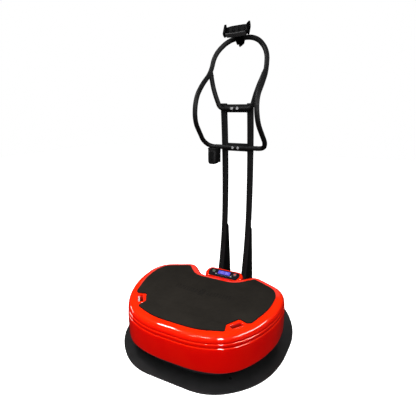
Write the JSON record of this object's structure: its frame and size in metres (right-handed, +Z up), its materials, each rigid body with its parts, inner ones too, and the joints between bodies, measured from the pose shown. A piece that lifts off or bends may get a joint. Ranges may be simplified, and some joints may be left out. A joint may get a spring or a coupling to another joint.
{
  "type": "vibration plate",
  "caption": "Vibration plate with a bean-shaped gloss deck, rubber mat, rear console, floor plate, bowed twin posts and a hoop handle with phone holder and pocket.",
  "frame": {"origin": "on the floor in the symmetry plane, under the middle of the vibrating deck", "axes": "+Z up, +X to the user's right, -Y towards the side that the user steps on from"},
  "size_m": [0.8198, 0.88, 1.4878],
  "materials": {
    "floor_steel": "semi-gloss black paint",
    "foot_rubber": "moulded rubber",
    "tray_black": "black powder coat",
    "column_steel": "grey paint",
    "shell_red": "high gloss red",
    "mat_rubber": "fine textured rubber",
    "slot_red": "red plastic",
    "bar_steel": "polished steel",
    "motor_cast": "cast",
    "rotor_steel": "ground steel",
    "board_green": "solder mask",
    "heatsink_alu": "extruded",
    "inlet_black": "moulded",
    "rocker_red": "moulded",
    "fascia_black": "gloss overlay",
    "display_glass": "lit display window",
    "button_green": "moulded",
    "button_red": "moulded",
    "button_white": "moulded",
    "frame_black": "satin black powder coat",
    "cap_plastic": "moulded",
    "bolt_steel": "zinc plated",
    "holder_black": "fine moulded grain",
    "pad_rubber": "ribbed rubber",
    "bracket_black": "black powder coat"
  },
  "bodies": {
    "base": {"floor_plate": "floor_steel", "machine_feet": "foot_rubber", "isolators": "foot_rubber", "base_tray": "tray_black", "console_column": "tray_black", "isolator_columns": "column_steel", "console_housing": "shell_red", "button_rings": "bar_steel", "control_board": "board_green", "console_pcb": "board_green", "console_switches": "board_green", "drive_heatsink": "heatsink_alu", "power_inlet": "inlet_black", "rocker_bezel": "inlet_black", "console_base": "inlet_black", "lcd_module": "inlet_black", "console_fascia": "fascia_black", "lcd_window": "display_glass", "post_left": "frame_black", "post_right": "frame_black", "post_boots": "frame_black", "post_flanges": "frame_black", "upper_crossmember": "frame_black", "lower_crossmember": "frame_black", "handle_lower_bar": "frame_black", "handle_hoop": "frame_black", "handle_brace": "frame_black", "post_caps": "cap_plastic", "handle_bolts": "bolt_steel", "flange_bolts": "bolt_steel", "pocket_screws": "bolt_steel", "clamp_saddle": "holder_black", "clamp_cap": "holder_black", "pocket_body": "holder_black", "pocket_bracket": "bracket_black"},
    "deck": {"deck_shell": "shell_red", "deck_mat": "mat_rubber", "deck_plate": "column_steel", "strap_slot_liners": "slot_red", "strap_bars": "bar_steel", "motor_stators": "motor_cast", "motor_end_bells": "motor_cast", "motor_bearings": "rotor_steel", "motor_saddles": "column_steel"},
    "motor_left": {"rotor_left": "rotor_steel", "eccentrics_left": "rotor_steel"},
    "motor_right": {"rotor_right": "rotor_steel", "eccentrics_right": "rotor_steel"},
    "start_key": {"start_button": "button_green"},
    "stop_key": {"stop_button": "button_red"},
    "plus_key": {"plus_button": "button_white"},
    "minus_key": {"minus_button": "button_white"},
    "rocker": {"power_rocker": "rocker_red"},
    "knob": {"clamp_knob": "holder_black"},
    "holder_stem": {"ball_stem": "holder_black"},
    "holder_head": {"ball_socket": "holder_black", "cradle_back": "holder_black", "fixed_jaw": "holder_black", "cradle_pads": "pad_rubber"},
    "holder_jaw": {"sliding_jaw": "holder_black"}
  },
  "joints": [
    {"name": "deck_bounce", "type": "slide", "parent": "base", "child": "deck", "axis": [0, 0, 1], "range_m": [-0.002, 0.002], "stiffness_N_per_m": 600000, "springref_m": 0.00062, "deforming": ["isolators"]},
    {"name": "left_rotor_spin", "type": "hinge", "parent": "deck", "child": "motor_left", "pos_m": [-0.112, 0, 0.16], "axis": [0, 1, 0], "continuous": true},
    {"name": "right_rotor_spin", "type": "hinge", "parent": "deck", "child": "motor_right", "pos_m": [0.112, 0, 0.16], "axis": [0, 1, 0], "continuous": true},
    {"name": "start_press", "type": "slide", "parent": "base", "child": "start_key", "axis": [0, 0.4067, -0.9135], "range_m": [0, 0.0012], "stiffness_N_per_m": 400, "springref_m": -0.001},
    {"name": "stop_press", "type": "slide", "parent": "base", "child": "stop_key", "axis": [0, 0.4067, -0.9135], "range_m": [0, 0.0012], "stiffness_N_per_m": 400, "springref_m": -0.001},
    {"name": "plus_press", "type": "slide", "parent": "base", "child": "plus_key", "axis": [0, 0.4067, -0.9135], "range_m": [0, 0.0012], "stiffness_N_per_m": 400, "springref_m": -0.001},
    {"name": "minus_press", "type": "slide", "parent": "base", "child": "minus_key", "axis": [0, 0.4067, -0.9135], "range_m": [0, 0.0012], "stiffness_N_per_m": 400, "springref_m": -0.001},
    {"name": "power_switch", "type": "hinge", "parent": "base", "child": "rocker", "pos_m": [0.026, 0.328, 0.046], "axis": [1, 0, 0], "range_deg": [0, 20]},
    {"name": "clamp_knob_turn", "type": "hinge", "parent": "base", "child": "knob", "pos_m": [-0.01513, 0.49278, 1.40535], "axis": [-0.026, -0.8192, 0.573], "continuous": true},
    {"name": "holder_swivel", "type": "hinge", "parent": "base", "child": "holder_stem", "pos_m": [-0.01651, 0.47795, 1.43573], "axis": [-0.026, -0.8192, 0.573], "range_deg": [-90, 90]},
    {"name": "holder_tilt", "type": "hinge", "parent": "holder_stem", "child": "holder_head", "pos_m": [-0.01695, 0.46402, 1.44547], "axis": [0.999, 0, 0.0454], "range_deg": [-12, 12]},
    {"name": "jaw_slide", "type": "slide", "parent": "holder_head", "child": "holder_jaw", "axis": [0.999, 0, 0.0454], "range_m": [0, 0.02], "stiffness_N_per_m": 250, "springref_m": -0.01}
  ],
  "couplings": [
    {"joint": "right_rotor_spin", "follows": "left_rotor_spin", "ratio": -1}
  ]
}
